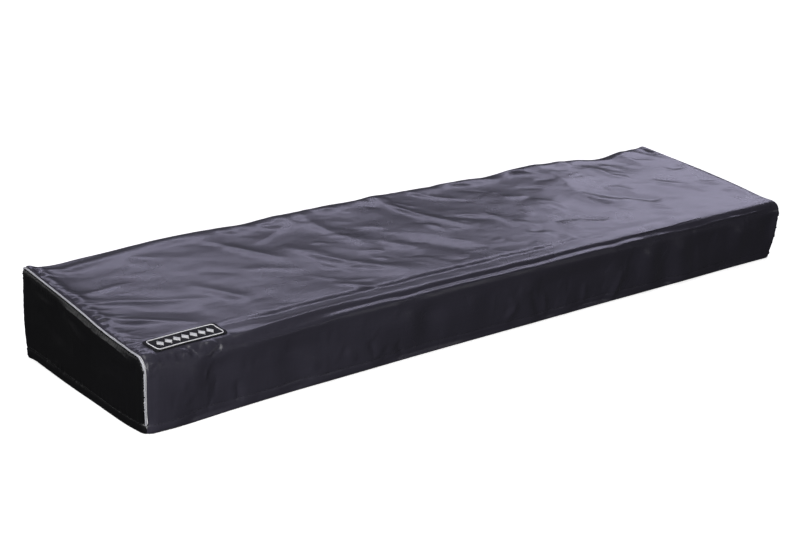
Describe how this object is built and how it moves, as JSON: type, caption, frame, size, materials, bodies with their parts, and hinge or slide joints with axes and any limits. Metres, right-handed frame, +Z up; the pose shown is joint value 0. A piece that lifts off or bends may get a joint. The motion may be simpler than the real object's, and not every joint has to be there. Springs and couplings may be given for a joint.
{
  "type": "padded keyboard cover",
  "caption": "Fitted padded cloth cover for a long keyboard instrument: sloped creased top, upright front and back, two piped end panels, open below.",
  "frame": {"origin": "middle of the cover's box, at the height of the hem", "axes": "+X along the length to the right end, -Y out of the low front face, +Z up"},
  "size_m": [1.36, 0.3529, 0.1536],
  "materials": {
    "charcoal_nylon": "satin woven nylon",
    "end_nylon": "satin woven nylon",
    "grey_piping": "satin corded piping",
    "woven_patch": "matt woven patch"
  },
  "bodies": {
    "root": {"main_panel": "charcoal_nylon", "end_panel_left": "end_nylon", "end_panel_right": "end_nylon", "piping_left": "grey_piping", "piping_right": "grey_piping", "label_patch": "woven_patch"}
  },
  "joints": []
}
